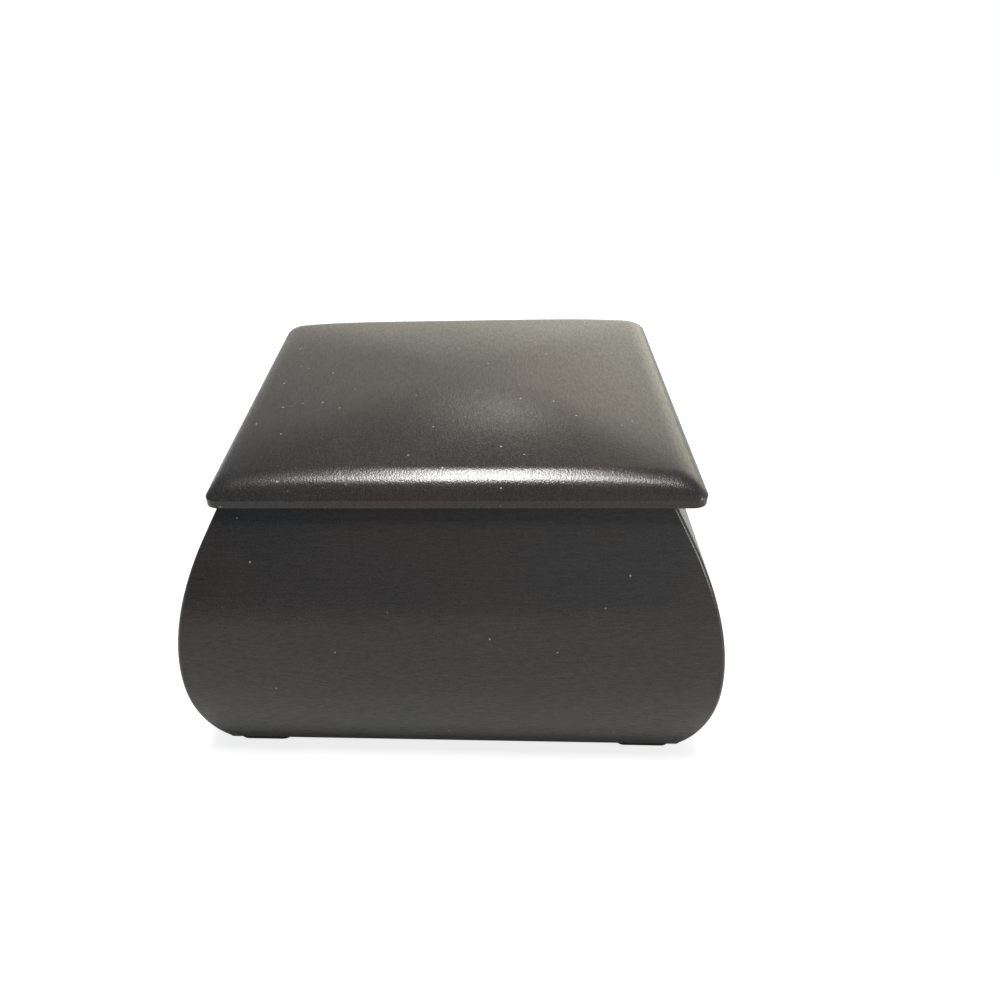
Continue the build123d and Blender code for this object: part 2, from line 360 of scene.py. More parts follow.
def grid_faces(columns, rows, start=0, flip=False):
    """Quads of a grid of vertices."""
    faces = []
    for i in range(columns):
        for j in range(rows):
            a = start + i * (rows + 1) + j
            quad = (a, a + rows + 1, a + rows + 2, a + 1)
            faces.append(quad[::-1] if flip else quad)
    return faces


def grid_rim(columns, rows):
    """Indices round the edge of a grid of vertices."""
    low_side = [i * (rows + 1) for i in range(columns + 1)]
    right_side = [columns * (rows + 1) + j for j in range(1, rows + 1)]
    high_side = [i * (rows + 1) + rows for i in range(columns - 1, -1, -1)]
    left_side = list(range(rows - 1, 0, -1))
    return low_side + right_side + high_side + left_side


# Shader helpers

class Nodes:
    """A node tree that is put together node by node."""

    def __init__(self, tree):
        self.tree = tree

    def feed(self, socket, value):
        """Gives a socket an output to follow or a plain value, such as a number or a colour."""
        if isinstance(value, bpy.types.NodeSocket):
            self.tree.links.new(value, socket)
        elif socket.type == "RGBA":
            socket.default_value = (*value, 1)
        else:
            socket.default_value = value

    def node(self, kind, inputs, **settings):
        """A new node with what its inputs get and some of its settings."""
        made = self.tree.nodes.new(kind)
        for key, value in settings.items():
            setattr(made, key, value)
        for key, value in inputs.items():
            self.feed(made.inputs[key], value)
        return made

    def ranged(self, value, low, high, to_low, to_high, soft=False):
        """The value's range from low to high, carried over to another range."""
        made = self.node(
            "ShaderNodeMapRange",
            {"Value": value, "From Min": low, "From Max": high, "To Min": to_low, "To Max": to_high},
            interpolation_type="SMOOTHSTEP" if soft else "LINEAR")
        return made.outputs["Result"]

    def mixed(self, amount, one, other):
        """Colour between one and other, each a colour or an output."""
        made = self.node("ShaderNodeMix", {"Factor": amount}, data_type="RGBA")
        for name, colour in (("A", one), ("B", other)):
            self.feed([s for s in made.inputs if s.name == name and s.type == "RGBA"][0], colour)
        return [s for s in made.outputs if s.type == "RGBA"][0]

    def worked_out(self, operation, one, other):
        """Result of a sum or product of two values, each a number or an output."""
        return self.node("ShaderNodeMath", {0: one, 1: other}, operation=operation).outputs["Value"]


class Finish(Nodes):
    """The nodes of a new material."""

    def __init__(self, name):
        self.material = bpy.data.materials.new(name)
        self.material.use_nodes = True
        super().__init__(self.material.node_tree)
        self.shader = self.tree.nodes["Principled BSDF"]
        self.place = self.node("ShaderNodeTexCoord", {}).outputs["Object"]

    def set(self, socket, value):
        """Gives a socket of the shader an output to follow or a plain value."""
        self.feed(self.shader.inputs[socket], value)

    def stretched(self, scale):
        """Object coordinates times a scale along each axis."""
        return self.node("ShaderNodeMapping", {"Vector": self.place, "Scale": scale}).outputs["Vector"]

    def noise(self, vector, scale=1.0, detail=2.0, roughness=0.5, distortion=0.0):
        """Noise with so many waves in a metre."""
        made = self.node("ShaderNodeTexNoise", {
            "Vector": vector, "Scale": scale, "Detail": detail, "Roughness": roughness,
            "Distortion": distortion})
        return made.outputs["Fac"]

    def layered(self, tone, other, mask, low, high, amount):
        """The tone, going over to another by up to an amount where the mask rises from low to high."""
        return self.mixed(self.ranged(mask, low, high, 0, amount), tone, other)

    def relief(self, height, depth, strength=1.0, under=None):
        """Bump of a real depth in metres, on top of another if given."""
        made = self.node("ShaderNodeBump", {"Height": height, "Distance": depth, "Strength": strength})
        if under is not None:
            self.feed(made.inputs["Normal"], under)
        return made.outputs["Normal"]


def times(colour, factor):
    """A colour made lighter or darker."""
    return tuple(c * factor for c in colour)


def tinted(colour, tint):
    """A colour seen through a tint."""
    return tuple(c * t for c, t in zip(colour, tint))


def dust_mask(finish, dust):
    """Specks of dust: a dot in the middle of some cells, of more cells the more dust there is."""
    cells_in_a_metre, speck_core, speck_edge = 360, 0.06, 0.11
    faintest, clearest = 1 - dust, 1 - dust * 0.4
    specks = finish.node("ShaderNodeTexVoronoi", {"Vector": finish.place, "Scale": cells_in_a_metre})
    small = finish.ranged(specks.outputs["Distance"], speck_core, speck_edge, 1, 0)
    chance = finish.node("ShaderNodeSeparateColor", {"Color": specks.outputs["Color"]})
    clear = finish.ranged(chance.outputs["Red"], faintest, clearest, 0, 1)
    return finish.worked_out("MULTIPLY", small, clear)


def lacquered_wood(name, grain, colour, gloss, dust, wear_and_glints):
    """Black lacquer over open-pored wood, its grain along X, Y or Z, dusty and worn as much as given; the wear
    also brings pale specks that are painted glints of the lacquer as well as fine wear.
    """
    finish = Finish(name)

    def along_grain(waves, **settings):
        """Noise with so many waves in a metre along the grain and across it."""
        scale = [waves[1]] * 3
        scale["XYZ".index(grain)] = waves[0]
        return finish.noise(finish.stretched(scale), **settings)

    pore_waves, fibre_waves, figure_waves = (280, 3400), (90, 2600), (7, 60)
    grit_waves, ripple_waves, streak_waves = (1900, 3800 / wear_and_glints), (60, 170), (420, 2400)
    cloud_waves, patch_waves = 26, 55

    pores = finish.ranged(along_grain(pore_waves, detail=1.0), 0.60, 0.74, 0.0, 1.0)
    fibre = along_grain(fibre_waves, detail=2.0, roughness=0.6)
    figure = along_grain(figure_waves, detail=4.0, roughness=0.55, distortion=0.5)
    cloud = finish.noise(finish.place, scale=cloud_waves, detail=3.0)
    grit = along_grain(grit_waves, detail=1.0, roughness=0.6)

    dark_figure, light_figure = times(colour, 0.75), times(colour, 1.1)
    brown = tinted(colour, (1.5, 1.05, 0.85))
    # Pale grit specks: painted glints of the lacquer, and fine wear.
    pale_fibre, dark_pore, glint_and_wear_speck = times(colour, 1.6), times(colour, 0.45), times(colour, 2.9)
    dust_grey = (0.46, 0.46, 0.43)
    tone = finish.layered(dark_figure, light_figure, figure, low=0.35, high=0.68, amount=1)
    tone = finish.layered(tone, brown, cloud, low=0.42, high=0.72, amount=0.8)
    tone = finish.layered(tone, pale_fibre, fibre, low=0.42, high=0.75, amount=0.5)
    tone = finish.layered(tone, dark_pore, pores, low=0, high=1, amount=0.6)
    # Pale specks along the grit, more of them with more wear: painted glints, and fine wear.
    tone = finish.layered(tone, glint_and_wear_speck, grit, low=0.50, high=0.72, amount=0.45 * wear_and_glints)
    finish.set("Base Color", finish.mixed(dust_mask(finish, dust), tone, dust_grey))

    patches = finish.noise(finish.place, scale=patch_waves, detail=4.0, roughness=0.6)
    spread = 0.03
    uneven = finish.ranged(patches, 0.3, 0.7, gloss - spread, gloss + spread)
    fibrous = finish.ranged(fibre, 0.3, 0.7, -spread / 2, spread)
    finish.set("Roughness", finish.worked_out("ADD", uneven, fibrous))

    ripple_depth, grit_depth = 0.02 * MM, 0.028 * wear_and_glints * MM
    fibre_depth, pore_depth = 0.006 * MM, 0.010 * MM
    film = finish.relief(along_grain(ripple_waves, detail=2.0), ripple_depth, strength=0.3)
    film = finish.relief(grit, grit_depth, under=film)
    finish.set("Coat Normal", film)
    normal = finish.relief(fibre, fibre_depth, strength=0.8, under=film)
    sunk = finish.ranged(pores, 0, 1, 1, 0)
    normal = finish.relief(sunk, pore_depth, strength=0.8, under=normal)
    finish.set("Normal", normal)

    streaked = finish.ranged(along_grain(streak_waves, detail=1.0), 0.40, 0.64, 1.0, 0.60)
    worn = finish.worked_out("MULTIPLY", streaked, finish.ranged(grit, 0.42, 0.66, 1.0, 0.66))
    finish.set("Coat Weight", worn)
    finish.set("Coat Roughness", 0.13)
    finish.set("Coat IOR", 1.5)
    finish.set("IOR", 1.5)
    return finish.material


def turned_brass(name, colour):
    """Satin brass with fine rubbing and a little tarnish."""
    finish = Finish(name)
    tarnish_waves, rubbing_waves, rubbing_depth = 260, (300, 6000, 6000), 0.004 * MM
    tarnished = tinted(colour, (0.62, 0.5, 0.45))
    tarnish = finish.noise(finish.place, scale=tarnish_waves, detail=4.0, roughness=0.6)
    finish.set("Base Color", finish.layered(colour, tarnished, tarnish, low=0.42, high=0.68, amount=0.8))
    rubbed = finish.noise(finish.stretched(rubbing_waves), detail=2.0)
    finish.set("Roughness", finish.ranged(rubbed, 0.3, 0.7, 0.24, 0.40))
    finish.set("Normal", finish.relief(rubbed, rubbing_depth, strength=0.6))
    finish.set("Metallic", 1.0)
    return finish.material


def velvet_pile(name, colour):
    """Short dense velvet pile with stroked patches, their lighter and darker tones painted sheen and shade of the
    pile's lie, and painted shade between the tufts.
    """
    finish = Finish(name)
    pile_waves, stroke_waves = 3200, 70
    pile_depth, stroke_depth = 0.10 * MM, 0.12 * MM
    # Painted sheen where the pile lies along, painted shade where it lies against, and painted shade between the
    # tufts.
    against, along, shade_between_tufts = times(colour, 0.62), times(colour, 1.35), times(colour, 0.35)
    pile = finish.noise(finish.place, scale=pile_waves, detail=2.0, roughness=0.7)
    stroked = finish.noise(finish.place, scale=stroke_waves, detail=3.0, roughness=0.55, distortion=0.8)
    # Stroked patches lighter and darker: painted sheen and shade of the pile's lie.
    tone = finish.layered(against, along, stroked, low=0.32, high=0.70, amount=1)
    # Darker between the tufts of pile: painted shade.
    finish.set("Base Color", finish.layered(tone, shade_between_tufts, pile, low=0.35, high=0.65, amount=0.55))
    normal = finish.relief(stroked, stroke_depth, strength=0.5)
    finish.set("Normal", finish.relief(pile, pile_depth, strength=0.8, under=normal))
    finish.set("Roughness", 0.9)
    finish.set("Specular IOR Level", 0.2)
    finish.set("Sheen Weight", 0.7)
    finish.set("Sheen Roughness", 0.35)
    finish.set("Sheen Tint", (0.75, 0.16, 0.20))
    return finish.material


def kept_material(name, maker, *settings):
    """The material of that name, made once."""
    return bpy.data.materials.get(name) or maker(name, *settings)


def wood(grain, dust=0.06, wear_and_glints=1.0, where=""):
    """The box's lacquered wood with its grain along one axis, and some dust and wear on it, the wear with its
    painted glint specks.
    """
    look = bpy.context.scene.trinket_finish
    name = f"black_lacquered_wood_{grain}{where}"
    return kept_material(name, lacquered_wood, grain, tuple(look.wood), look.gloss, dust, wear_and_glints)


def brass():
    """The brass of the hinges and screws."""
    return kept_material("satin_brass", turned_brass, tuple(bpy.context.scene.trinket_finish.brass))


def velvet():
    """The velvet of the pads and linings."""
    return kept_material("red_velvet", velvet_pile, tuple(bpy.context.scene.trinket_finish.velvet))


def dress(piece, material, body, slot, *nodes):
    """Gives a new piece its material and its body, and hides the nodes that it stands for."""
    piece.data.materials.clear()
    piece.data.materials.append(material)
    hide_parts(*nodes)
    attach(piece, body)


def finish_node(name, material):
    """Gives a carried-over node its material and soft shading."""
    node = frame["nodes"][name]
    if not node.material_slots:
        node.data.materials.append(material)
    for held in node.material_slots:
        held.material = material
    smooth(node, angle=30)


# Hinge places, shared by the walls, the lid and the screws

OVERCUT = 1 * MM  # how far a cutter stands out of the wood
BARREL_END_ROOM = 0.55 * MM


def hinge_boxes(level, thickness):
    """Corners of the two leaf mortises between level and level plus thickness."""
    fit = bpy.context.scene.trinket_fittings
    behind_axis = 3 * MM
    bottom, top = sorted((level, level + thickness))
    boxes = []
    for side in (-1, 1):
        middle = side * fit.hinge_spread
        low = (middle - fit.hinge_length / 2, hinge_axis.y - fit.leaf_reach, bottom)
        high = (middle + fit.hinge_length / 2, hinge_axis.y + behind_axis, top)
        boxes.append((low, high))
    return boxes


def screw_spots():
    """Plan places of the screws of each hinge."""
    fit = bpy.context.scene.trinket_fittings
    spots = {}
    for side in ("left", "right"):
        low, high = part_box(f"hinge_{side}_case_screws")
        y = (low.y + high.y) / 2
        spots[side] = [
            Vector((low.x + fit.screw_head / 2, y, 0)),
            Vector((high.x - fit.screw_head / 2, y, 0))]
    return spots


def screw_hole_cutter(name, level, rise):
    """Cutter for the pilot holes under the screws."""
    fit = bpy.context.scene.trinket_fittings
    out_of_wood, length, room = 0.5 * MM, 5.6 * MM, 0.03 * MM
    ends = []
    for spots in screw_spots().values():
        for spot in spots:
            start = Vector((spot.x, spot.y, level - rise * out_of_wood))
            ends.append((start, start + Vector((0, 0, rise * length))))
    return rod_cutter(name, ends, fit.screw_shank / 2 + room, sides=20)


def barrel_room_cutter(name):
    """Cutter for the room round the two barrels."""
    fit = bpy.context.scene.trinket_fittings
    reach = fit.hinge_length / 2 + BARREL_END_ROOM
    ends = []
    for side in (-1, 1):
        middle = Vector((side * fit.hinge_spread, hinge_axis.y, hinge_axis.z))
        ends.append((middle - Vector((reach, 0, 0)), middle + Vector((reach, 0, 0))))
    return rod_cutter(name, ends, fit.barrel_room)


# Case walls

def wall_bulge(height, case):
    """How far the outer face stands beyond the rim, at a height above the underside."""
    total = rim_level - underside_level
    run = total - case.belly_height
    upper = (run * sin(case.rim_slope) - case.belly_bulge * cos(case.rim_slope)) / (1 - cos(case.rim_slope))
    lower = (case.base_tuck ** 2 + case.belly_height ** 2) / (2 * case.base_tuck)
    above = height - case.belly_height
    if above <= 0:
        return case.belly_bulge - lower + sqrt(lower ** 2 - above ** 2)
    if above < upper * sin(case.rim_slope):
        return case.belly_bulge - upper + sqrt(upper ** 2 - above ** 2)
    return (total - height) * tan(case.rim_slope)


def wall_section(case):
    """Closed cross-section of a wall: how far out, at what level, and its corner radius."""
    total = rim_level - underside_level
    inner = -case.rim_wall
    rebate = inner + case.base_rebate
    soft = case.bottom_round
    corner = case.corner_round
    round_steps, face_steps, above_round = 6, 64, 0.5 * MM
    section = [(rebate, underside_level, 0)]
    toe = wall_bulge(soft, case)
    for i in range(round_steps + 1):
        turn = i / round_steps * pi / 2
        out = toe - soft + soft * sin(turn)
        section.append((out, underside_level + soft - soft * cos(turn), corner))
    start = soft + above_round
    end = total - case.rim_arris
    for i in range(face_steps + 1):
        height = start + (end - start) * i / face_steps
        section.append((wall_bulge(height, case), underside_level + height, corner))
    section.append((-case.rim_arris, rim_level, corner))
    section.append((inner, rim_level, 0))
    section.append((inner, floor_level, 0))
    section.append((rebate, floor_level, 0))
    return section


def wall_stations(half_along, half_out, radius, notch):
    """Plan points (along, out) of one line of the wall from mitre to mitre."""
    corner_steps, spans = 4, 14
    ends = []
    for i in range(corner_steps + 1):
        turn = pi / 4 * (1 - i / corner_steps)
        pull = notch if i == 0 else 0
        ends.append((
            half_along - radius + (radius - pull) * sin(turn),
            half_out - radius + (radius - pull) * cos(turn)))
    flat = half_along - radius
    middle = [(-flat + 2 * flat * i / spans, half_out) for i in range(1, spans)]
    return [(-x, y) for x, y in ends] + middle + ends[::-1]


def mitred_wall(name, along, out, half_along, half_out, case):
    """One moulded wall with its mitred ends."""
    section = wall_section(case)
    rows = []
    for bulge, level, radius in section:
        notch = case.mitre_line if radius else 0
        stations = wall_stations(half_along + bulge, half_out + bulge, radius, notch)
        rows.append([along * a + out * o + Vector((0, 0, level)) for a, o in stations])
    count = len(rows[0])
    verts = [p for row in rows for p in row]
    faces = []
    for i in range(len(rows)):
        following = (i + 1) % len(rows)
        for j in range(count - 1):
            faces.append((
                i * count + j, i * count + j + 1, following * count + j + 1, following * count + j))
    faces.append([i * count for i in range(len(rows))])
    faces.append([i * count + count - 1 for i in range(len(rows))])
    return link_mesh(name, verts, faces)


class TRINKETBOX_OT_walls(bpy.types.Operator):
    """Build the four moulded walls of the case"""
    bl_idname = "trinket_box.walls"
    bl_label = "Moulded Walls"

    def execute(self, context):
        case = context.scene.trinket_case
        rim_half_x = belly_half_x - case.belly_bulge
        rim_half_y = belly_half_y - case.belly_bulge
        runs = {
            "front": (Vector((1, 0, 0)), Vector((0, -1, 0)), rim_half_x, rim_half_y, "X"),
            "back": (Vector((-1, 0, 0)), Vector((0, 1, 0)), rim_half_x, rim_half_y, "X"),
            "left": (Vector((0, -1, 0)), Vector((-1, 0, 0)), rim_half_y, rim_half_x, "Y"),
            "right": (Vector((0, 1, 0)), Vector((1, 0, 0)), rim_half_y, rim_half_x, "Y"),
        }
        for side, (along, out, half_along, half_out, grain) in runs.items():
            wall = mitred_wall(f"{side}_moulding", along, out, half_along, half_out, case)
            if side == "back":
                depth = context.scene.trinket_fittings.leaf_depth
                carve(
                    wall,
                    block_cutter("mortises", hinge_boxes(rim_level + OVERCUT, -OVERCUT - depth)),
                    barrel_room_cutter("barrel_room"),
                    screw_hole_cutter("pilot_holes", rim_level - depth, -1))
            smooth(wall)
            dress(wall, wood(grain), "case", "black_wood", f"{side}_panel")
        return {"FINISHED"}


# Lid

def pillow_rise(distance, half, lid):
    """Rise above the band at a distance inside the lid's outline, half way across being half."""
    steep, shallow = lid.roll_start, lid.crown_start
    lean = sin(steep) - distance / lid.roll_radius
    if lean > sin(shallow):
        return lid.roll_radius * (cos(asin(lean)) - cos(steep))
    roll_width = lid.roll_radius * (sin(steep) - sin(shallow))
    crown_radius = (half - roll_width) / sin(shallow)
    left = min(1.0, (half - distance) / crown_radius)
    roll_rise = lid.roll_radius * (cos(shallow) - cos(steep))
    return roll_rise + crown_radius * (cos(asin(left)) - cos(shallow))


def pillow_top(lid):
    """Grid of points over the lid's top, and its numbers of columns and rows."""
    columns, rows = 120, 110
    full_x = pillow_rise(lid_half_x, lid_half_x, lid)
    full_y = pillow_rise(lid_half_y, lid_half_y, lid)
    height = lid_high.z - rim_level - lid.band
    points = []
    for u in edge_dense(columns):
        for v in edge_dense(rows):
            x, y = u * lid_half_x, v * lid_half_y
            fall = joined_falls(
                1 - pillow_rise(lid_half_x - abs(x), lid_half_x, lid) / full_x,
                1 - pillow_rise(lid_half_y - abs(y), lid_half_y, lid) / full_y,
                lid.hip_hardness)
            level = rim_level + lid.band + height * (1 - fall)
            x, y = into_rounded_corner(x, y, lid_half_x, lid_half_y, lid.corner_round)
            points.append(Vector((lid_shift + x, y, level)))
    return points, columns, rows


class TRINKETBOX_OT_lid(bpy.types.Operator):
    """Build the pillow lid with its recess and hinge mortises"""
    bl_idname = "trinket_box.lid"
    bl_label = "Pillow Lid"

    def execute(self, context):
        lid = context.scene.trinket_lid
        fit = context.scene.trinket_fittings
        verts, columns, rows = pillow_top(lid)
        faces = grid_faces(columns, rows)
        ring = grid_rim(columns, rows)
        edge = [verts[i] for i in ring]
        shrink_x = (lid_half_x - lid.arris) / lid_half_x
        shrink_y = (lid_half_y - lid.arris) / lid_half_y
        for level, inset in ((rim_level + lid.arris, False), (rim_level, True)):
            start = len(verts)
            for p in edge:
                x = lid_shift + (p.x - lid_shift) * (shrink_x if inset else 1)
                y = p.y * (shrink_y if inset else 1)
                verts.append(Vector((x, y, level)))
            lower = list(range(start, start + len(ring)))
            for i in range(len(ring)):
                j = (i + 1) % len(ring)
                faces.append((ring[i], ring[j], lower[j], lower[i]))
            ring = lower
        faces.append(ring)
        piece = link_mesh("pillow_lid", verts, faces)

        pad_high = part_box("lid_cushion")[1]
        gap, recess_corner = 0.1 * MM, 3 * MM
        outline = rounded_outline(pad_high.x + gap, pad_high.y + gap, recess_corner, steps=8)
        loops = []
        for level in (rim_level - OVERCUT, rim_level + lid.recess_depth):
            loops.append([Vector((x, y, level)) for x, y in outline])
        reach = fit.hinge_length / 2 + BARREL_END_ROOM
        rooms = []
        for side in (-1, 1):
            middle = side * fit.hinge_spread
            low = (middle - reach, hinge_axis.y - fit.barrel_room, rim_level - OVERCUT)
            high = (middle + reach, lid_half_y + OVERCUT, rim_level + fit.barrel_room)
            rooms.append((low, high))
        carve(
            piece,
            link_mesh("recess", *stacked_loops(loops)),
            block_cutter("mortises", hinge_boxes(rim_level - OVERCUT, OVERCUT + fit.leaf_depth)),
            block_cutter("barrel_rooms", rooms),
            screw_hole_cutter("pilot_holes", rim_level + fit.leaf_depth, 1))
        smooth(piece, angle=21)
        # The lid's wood has more dust, and more wear with more painted glint specks.
        dress(piece, wood("Y", dust=0.24, wear_and_glints=1.45, where="_lid"), "lid", "black_wood", "lid_panel")
        return {"FINISHED"}


# Feet and bottom board

class TRINKETBOX_OT_feet(bpy.types.Operator):
    """Build the four block feet"""
    bl_idname = "trinket_box.feet"
    bl_label = "Block Feet"

    def execute(self, context):
        fit = context.scene.trinket_fittings
        arris_steps = 5
        for row in ("front", "back"):
            for side in ("left", "right"):
                node = f"foot_{row}_{side}"
                low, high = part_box(node)
                middle = (low + high) / 2
                half = (high - low) / 2
                sections = []
                for i in range(arris_steps + 1):
                    turn = i / arris_steps * pi / 2
                    inset = fit.foot_arris * (1 - sin(turn))
                    sections.append((inset, low.z + fit.foot_arris * (1 - cos(turn))))
                sections.append((0, high.z))
                loops = []
                for inset, level in sections:
                    outline = rounded_outline(
                        half.x - inset, half.y - inset, fit.foot_round - inset, steps=8)
                    loops.append([Vector((middle.x + x, middle.y + y, level)) for x, y in outline])
                foot = link_mesh(f"block_foot_{row}_{side}", *stacked_loops(loops))
                smooth(foot, angle=35)
                dress(foot, wood("X"), "case", "black_wood", node)
        return {"FINISHED"}


class TRINKETBOX_OT_base(bpy.types.Operator):
    """Finish the bottom board"""
    bl_idname = "trinket_box.base"
    bl_label = "Bottom Board"

    def execute(self, context):
        finish_node("base_panel", wood("X"))
        return {"FINISHED"}


# Hinges and screws

class TRINKETBOX_OT_hinges(bpy.types.Operator):
    """Finish the hinge leaves and pins"""
    bl_idname = "trinket_box.hinges"
    bl_label = "Brass Hinges"

    def execute(self, context):
        for side in ("left", "right"):
            for part in ("case_leaf", "lid_leaf", "pin"):
                finish_node(f"hinge_{side}_{part}", brass())
        return {"FINISHED"}


def slotted_screws(name, spots, level, rise, length, fit):
    """Countersunk slotted screws with their heads at one level."""
    head, shank = fit.screw_head / 2, fit.screw_shank / 2
    seat = head - shank
    sides = 28
    rim_inset, rim_depth = 0.06 * MM, 0.05 * MM
    taper, shoulder, shoulder_share, point = 0.9 * MM, 0.25 * MM, 0.45, 0.05 * MM
    profile = [
        (head - rim_inset, 0), (head, rim_depth), (shank, seat), (shank, length - taper),
        (shank * shoulder_share, length - shoulder), (point, length)]
    verts, faces = [], []
    for spot in spots:
        loops = []
        for radius, depth in profile:
            loops.append([
                Vector((
                    spot.x + radius * cos(2 * pi * i / sides), spot.y + radius * sin(2 * pi * i / sides),
                    level + rise * depth)) for i in range(sides)])
        start = len(verts)
        more, skin = stacked_loops(loops)
        verts += more
        faces += [[start + i for i in face] for face in skin]
    screws = link_mesh(name, verts, faces)
    slot_half, slot_depth, slot_reach, above_head = 0.17 * MM, 0.38 * MM, head * 1.2, 0.5 * MM
    bottom, top = sorted((level - rise * above_head, level + rise * slot_depth))
    boxes = []
    for spot in spots:
        boxes.append((
            (spot.x - slot_reach, spot.y - slot_half, bottom),
            (spot.x + slot_reach, spot.y + slot_half, top)))
    carve(screws, block_cutter("slots", boxes))
    return screws


class TRINKETBOX_OT_screws(bpy.types.Operator):
    """Build the hinge screws"""
    bl_idname = "trinket_box.screws"
    bl_label = "Hinge Screws"

    def execute(self, context):
        fit = context.scene.trinket_fittings
        tip_room = 0.02 * MM
        for side, spots in screw_spots().items():
            for part, rise in (("case", -1), ("lid", 1)):
                node = f"hinge_{side}_{part}_screws"
                low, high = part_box(node)
                level = high.z if rise < 0 else low.z
                length = high.z - low.z - tip_room
                screws = slotted_screws(f"slotted_{node}", spots, level, rise, length, fit)
                smooth(screws, angle=30)
                dress(screws, brass(), part, "brass", node)
        return {"FINISHED"}


# Velvet

def velvet_pad(name, half_u, half_v, thickness, crown, shoulder, corner, to_world, ripple, seed):
    """Closed pad: flat back, drawn-in sides and a crowned front with a soft uneven pile."""
    columns, rows = 64, 56
    widest_share, long_wave, short_wave = 0.45, 7 * MM, 3 * MM
    side_level = (thickness - crown) * widest_share
    tuck = min(shoulder, side_level)
    front, back = [], []
    for a in edge_dense(columns):
        for b in edge_dense(rows):
            u, v = a * half_u, b * half_v
            falls, tucks = [], []
            for inside in (half_u - abs(u), half_v - abs(v)):
                near = max(0.0, 1 - inside / shoulder)
                falls.append(1 - sqrt(1 - near * near))
                under = max(0.0, 1 - inside / tuck)
                tucks.append(1 - sqrt(1 - under * under))
            fall, lift = joined_falls(*falls), joined_falls(*tucks)
            swell = crown * (1 - a * a) * (1 - b * b)
            u, v = into_rounded_corner(u, v, half_u, half_v, corner)
            waves = noise.noise(Vector((u / long_wave, v / long_wave, seed)))
            waves += 0.5 * noise.noise(Vector((u / short_wave, v / short_wave, seed + 9)))
            top = thickness - crown + swell - ripple * (1 + waves)
            front.append(to_world(u, v, side_level + (top - side_level) * (1 - fall)))
            back.append(to_world(u, v, side_level * lift))
    faces = grid_faces(columns, rows) + grid_faces(columns, rows, len(front), flip=True)
    rim = grid_rim(columns, rows)
    for i in rim:
        back[i] = front[i]
    return link_mesh(name, front + back, faces)


class TRINKETBOX_OT_cushions(bpy.types.Operator):
    """Build the velvet cushions of the floor and the lid"""
    bl_idname = "trinket_box.cushions"
    bl_label = "Velvet Cushions"

    def execute(self, context):
        pads = context.scene.trinket_pads
        for node, body, rise in (("floor_cushion", "case", 1), ("lid_cushion", "lid", -1)):
            low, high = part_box(node)
            base = low.z if rise > 0 else high.z
            middle = (low + high) / 2

            def placed(u, v, w):
                return Vector((middle.x + u, middle.y + v, base + rise * w))

            cushion = velvet_pad(
                f"velvet_{node}", (high.x - low.x) / 2, (high.y - low.y) / 2, high.z - low.z,
                pads.cushion_crown, pads.cushion_shoulder, pads.cushion_corner, placed, pads.ripple,
                rise * 3.7)
            smooth(cushion, angle=60)
            dress(cushion, velvet(), body, "velvet", node)
        return {"FINISHED"}


class TRINKETBOX_OT_linings(bpy.types.Operator):
    """Build the velvet linings of the four walls"""
    bl_idname = "trinket_box.linings"
    bl_label = "Wall Linings"

    def execute(self, context):
        pads = context.scene.trinket_pads
        lining_corner = 0.8 * MM
        inward = {
            "front": Vector((0, 1, 0)), "back": Vector((0, -1, 0)),
            "left": Vector((1, 0, 0)), "right": Vector((-1, 0, 0))}
        for seed, (side, way) in enumerate(inward.items()):
            low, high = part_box(f"{side}_lining")
            middle, size = (low + high) / 2, high - low
            along = Vector((0, 0, 1)).cross(way)
            length = abs(size.dot(along))
            thickness = abs(size.dot(way))
            back = middle - way * thickness / 2

            def placed(u, v, w):
                return back + along * u + Vector((0, 0, v)) + way * w

            lining = velvet_pad(
                f"velvet_{side}_lining", length / 2, size.z / 2, thickness, pads.lining_crown,
                pads.lining_shoulder, lining_corner, placed, pads.ripple, 20 + 5 * seed)
            smooth(lining, angle=60)
            dress(lining, velvet(), "case", "velvet", f"{side}_lining")
        return {"FINISHED"}


# Stage

def soft_box(name, place, aim, width, height, brightness, tint=(1, 1, 1)):
    """Rectangular lamp of a given brightness, which the camera doesn't see."""
    lamp = bpy.data.lights.new(name, "AREA")
    lamp.shape = "RECTANGLE"
    lamp.size = width
    lamp.size_y = height
    lamp.energy = brightness * pi * width * height
    lamp.color = tint
    fixture = bpy.data.objects.new(name, lamp)
    bpy.context.scene.collection.objects.link(fixture)
    fixture.location = place
    fixture.rotation_euler = (Vector(aim) - Vector(place)).to_track_quat("-Z", "Y").to_euler()
    fixture.visible_camera = False


def studio_lamps():
    """Soft lamps overhead, behind and to the right of the box."""
    daylight, warm = (1, 0.99, 0.95), (1, 0.95, 0.80)
    soft_box(
        "overhead_lamp", place=(0.01, 0.01, 1.0), aim=(0.01, -0.01, 0),
        width=0.22, height=0.60, brightness=15.8, tint=daylight)
    soft_box(
        "wing_lamp", place=(0.03, -0.16, 1.01), aim=(0.03, -0.16, 0),
        width=0.56, height=0.26, brightness=5.6, tint=daylight)
    soft_box(
        "wide_lamp", place=(0.01, 0.02, 1.02), aim=(0.01, 0, 0),
        width=0.80, height=0.50, brightness=0.4)
    soft_box(
        "edge_lamp", place=(-0.02, 0.40, 0.98), aim=(0, 0, 0.08),
        width=0.22, height=0.03, brightness=6)
    soft_box(
        "window_lamp", place=(0.035, 0.75, 0.68), aim=(0, 0, 0.08),
        width=0.14, height=0.12, brightness=1.9, tint=warm)
    soft_box(
        "side_lamp", place=(0.75, -0.45, 0.30), aim=(0.20, -0.15, 0),
        width=0.35, height=0.35, brightness=4.2)


